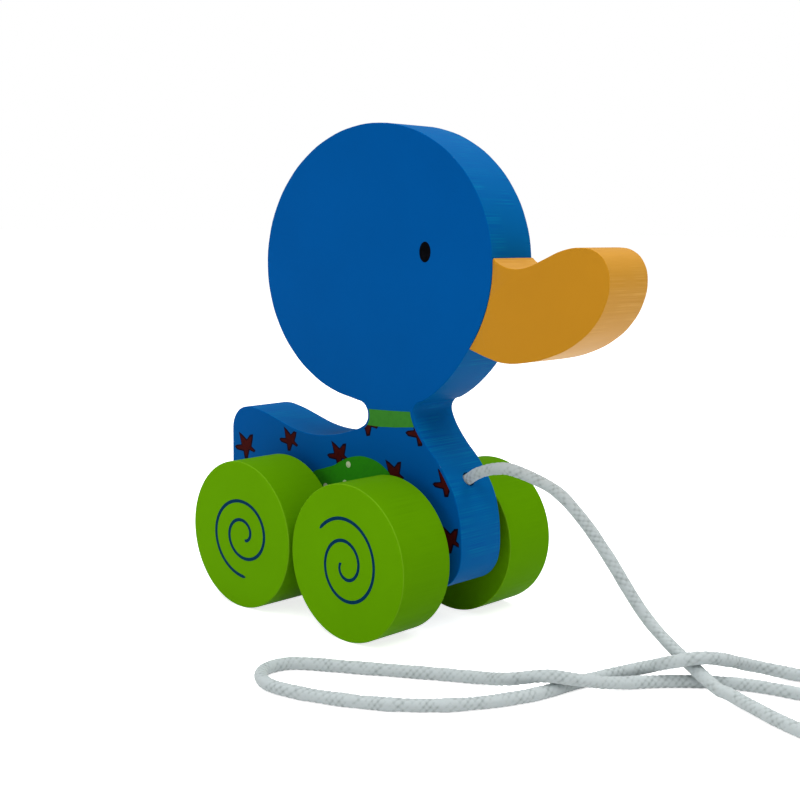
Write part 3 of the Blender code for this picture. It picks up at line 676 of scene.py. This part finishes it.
def makeStencil():
    # The flat of both faces of the board, inside its rounded edges, as two thin slabs
    bm = bmesh.new()
    bm.from_mesh(frame["nodes"]["body_board"].data)
    bmesh.ops.remove_doubles(bm, verts=bm.verts, dist=weld)
    rest = [f for f in bm.faces if abs(f.normal.y) < 0.999
            or abs(f.calc_center_median().y) < boardHigh.y * 0.99]
    bmesh.ops.delete(bm, geom=rest, context="FACES")
    for face in bm.faces:
        if face.normal.y < 0:
            face.normal_flip()
    slab = bmesh.ops.extrude_face_region(bm, geom=bm.faces[:])["geom"]
    moved = [v for v in slab if isinstance(v, bmesh.types.BMVert)]
    bmesh.ops.translate(bm, verts=moved, vec=(0, 1 * mm, 0))
    bmesh.ops.translate(bm, verts=bm.verts, vec=(0, -0.5 * mm, 0))
    bmesh.ops.recalc_face_normals(bm, faces=bm.faces)
    mesh = bpy.data.meshes.new("flat_of_board")
    bm.to_mesh(mesh)
    bm.free()
    stencil = bpy.data.objects.new("flat_of_board", mesh)
    scene.collection.objects.link(stencil)
    stencil.hide_render = True
    return stencil


def thickenFilm(bm, faceY, layer):
    # From flat figures on the middle plane to a film on a face of the board
    sign = 1 if faceY > 0 else -1
    grown = bmesh.ops.extrude_face_region(bm, geom=bm.faces[:])["geom"]
    verts = [v for v in grown if isinstance(v, bmesh.types.BMVert)]
    bmesh.ops.translate(bm, verts=verts, vec=(0, sign * (film["sunk"] + film["ink"] * layer), 0))
    bmesh.ops.translate(bm, verts=bm.verts, vec=(0, faceY - sign * film["sunk"], 0))
    bmesh.ops.recalc_face_normals(bm, faces=bm.faces)


def printOnBoard(name, draw, layer, material):
    # The same figure on both faces, trimmed to the flat of the board
    both = bmesh.new()
    for faceY in (boardLow.y, boardHigh.y):
        bm = bmesh.new()
        draw(bm)
        thickenFilm(bm, faceY, layer)
        part = bpy.data.meshes.new(name)
        bm.to_mesh(part)
        bm.free()
        both.from_mesh(part)
        bpy.data.meshes.remove(part)
    piece = newPiece(name, both, material, "root")
    trim = piece.modifiers.new("trim", "BOOLEAN")
    trim.operation = "INTERSECT"
    trim.object = stencil
    graph = bpy.context.evaluated_depsgraph_get()
    trimmed = bpy.data.meshes.new_from_object(piece.evaluated_get(graph))
    piece.modifiers.remove(trim)
    piece.data = trimmed
    return piece


def drawStars(shape):
    def draw(bm):
        for place in stars["places"]:
            addStar(bm, place, shape)
    return draw


def drawWing(bm):
    flatFigure(bm, smoothLine([onBoard(p) for p in wing["outline"]], wing["step"] * mm, closed=True))


def drawDots(bm):
    for dot in wing["dots"]:
        addDisc(bm, dot, (wing["dotRadius"], wing["dotRadius"]))


def drawCollar(bm):
    flatFigure(bm, [onBoard(p) for p in collar["corners"]])


def drawEye(bm):
    addDisc(bm, eye["centre"], eye["half"])


stencil = makeStencil()
printOnBoard("star_outlines", drawStars(stars["outline"]), 1, ink["outline"])
printOnBoard("star_fills", drawStars(stars["fill"]), 2, ink["red"])
printOnBoard("collar_bands", drawCollar, 3, ink["collar"])
printOnBoard("wings", drawWing, 3, ink["wing"])
printOnBoard("wing_dots", drawDots, 4, ink["dot"])
printOnBoard("eyes", drawEye, 1, ink["eye"])
bpy.data.objects.remove(stencil, do_unlink=True)

spiral = {"line": 0.95 * mm, "tip": 0.35, "steps": 150, "wheels": {
    "front_right": {"centre": (0.0, -0.6), "start": 1.85, "pitch": 5.85, "turns": 1.937,
                    "end": 141, "wide": 0.96},
    "rear_right": {"centre": (1.5, 0.2), "start": 1.7, "pitch": 5.4, "turns": 1.95,
                   "end": 274, "wide": 1.12},
    "front_left": {"centre": (0.4, 0.3), "start": 1.8, "pitch": 5.7, "turns": 1.9,
                   "end": 20, "wide": 1.0},
    "rear_left": {"centre": (-0.5, 0.4), "start": 1.8, "pitch": 5.6, "turns": 1.93,
                  "end": 205, "wide": 1.03}}}


def paintSpiral(end, side):
    # A line drawn by hand outwards from near the hub, with round ends
    look = spiral["wheels"][f"{end}_{side}"]
    low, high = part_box(f"wheel_{end}_{side}")
    hub = (low + high) / 2
    faceY = low.y if side == "right" else high.y
    step = 2 * math.pi * look["turns"] / spiral["steps"]
    bm = bmesh.new()
    half = spiral["line"] / 2
    pair = [bm.verts.new((look["start"] * mm + shift, 0, 0)) for shift in (-half, half)]
    edge = bm.edges.new(pair)
    tips = [edge]
    for index in range(spiral["steps"]):
        grown = bmesh.ops.extrude_edge_only(bm, edges=[edge])["geom"]
        pair = [v for v in grown if isinstance(v, bmesh.types.BMVert)]
        edge = next(e for e in grown if isinstance(e, bmesh.types.BMEdge) and set(e.verts) == set(pair))
        bmesh.ops.rotate(bm, verts=pair, cent=(0, 0, 0), matrix=Matrix.Rotation(-step, 3, "Y"))
        out = (pair[0].co + pair[1].co).normalized()
        bmesh.ops.translate(bm, verts=pair, vec=out * look["pitch"] * mm * look["turns"] / spiral["steps"])
    for tip in (tips[0], edge):  # narrow the ends
        middle = (tip.verts[0].co + tip.verts[1].co) / 2
        for vert in tip.verts:
            vert.co = middle + (vert.co - middle) * spiral["tip"]
    first = math.radians(look["end"]) - 2 * math.pi * look["turns"]
    bmesh.ops.rotate(bm, verts=bm.verts, cent=(0, 0, 0), matrix=Matrix.Rotation(-first, 3, "Y"))
    mirror = 1 if side == "right" else -1  # the same hand, seen from outside
    bmesh.ops.scale(bm, verts=bm.verts, vec=(mirror * look["wide"], 1, 1))
    thickenFilm(bm, faceY, 1)
    along, up = (c * mm for c in look["centre"])
    bmesh.ops.translate(bm, verts=bm.verts, vec=(hub.x + mirror * along, 0, hub.z + up))
    newPiece(f"spiral_{end}_{side}", bm, ink["spiral"], end + "_wheelset")


for end in ("front", "rear"):
    for side in ("right", "left"):
        paintSpiral(end, side)
print("figures printed")


# Studio: white floor and backdrop, broad soft light from above and a weak fill from the near side

studio = {"floor": "#F2F2F2", "floorSize": 12.0, "floorGlow": 0.79,
          "ambient": 0.30, "ambientColour": "#FFFFFF",
          "keyPlace": (0.14, 0.0, 0.86), "keySize": 1.4, "keyPower": 13.5,
          "fillPlace": (-0.25, -0.95, 0.35), "fillSize": 0.8, "fillPower": 1.75}


def seenRays(tree, other):
    # 1 for what the camera sees, and for one other kind of ray
    rays = addNode(tree, "ShaderNodeLightPath").outputs
    return addNode(tree, "ShaderNodeMath", {"operation": "MAXIMUM"},
                   {0: rays["Is Camera Ray"], 1: rays[other]}).outputs[0]


def paleFloor():
    # Matt white card: it shows the toy's shadow, and glows just enough to read as white to the camera
    material, tree, shader = newMaterial("whiteCard")
    shader.inputs["Base Color"].default_value = linear(studio["floor"])
    shader.inputs["Roughness"].default_value = 0.9
    shader.inputs["Specular IOR Level"].default_value = 0.0
    glow = addNode(tree, "ShaderNodeMath", {"operation": "MULTIPLY", 1: studio["floorGlow"]},
                   {0: seenRays(tree, "Is Glossy Ray")}).outputs[0]
    shader.inputs["Emission Color"].default_value = (1, 1, 1, 1)
    tree.links.new(glow, shader.inputs["Emission Strength"])
    return material


def setStudio():
    bm = bmesh.new()
    bmesh.ops.create_grid(bm, x_segments=1, y_segments=1, size=studio["floorSize"])
    mesh = bpy.data.meshes.new("studioFloor")
    bm.to_mesh(mesh)
    bm.free()
    mesh.materials.append(paleFloor())
    floor = bpy.data.objects.new("studioFloor", mesh)
    scene.collection.objects.link(floor)
    world = bpy.data.worlds.new("whiteStudio")
    world.use_nodes = True
    scene.world = world
    tree = world.node_tree
    tree.nodes.clear()
    soft = addNode(tree, "ShaderNodeBackground",
                   {"Color": linear(studio["ambientColour"]), "Strength": studio["ambient"]})
    white = addNode(tree, "ShaderNodeBackground", {"Color": (1, 1, 1, 1), "Strength": 1.0})
    both = addNode(tree, "ShaderNodeMixShader", links={0: seenRays(tree, "Is Transmission Ray"),
                                                       1: soft.outputs[0], 2: white.outputs[0]})
    addNode(tree, "ShaderNodeOutputWorld", links={"Surface": both.outputs[0]})
    for name in ("key", "fill"):
        data = bpy.data.lights.new(name + "Light", "AREA")
        data.size = studio[name + "Size"]
        data.energy = studio[name + "Power"]
        lamp = bpy.data.objects.new(name + "Light", data)
        scene.collection.objects.link(lamp)
        lamp.location = studio[name + "Place"]
        aim = Vector(camera["aim"]) - lamp.location
        lamp.rotation_euler = aim.to_track_quat("-Z", "Y").to_euler()
    scene.view_settings.view_transform = "Standard"


setStudio()
print("studio set")
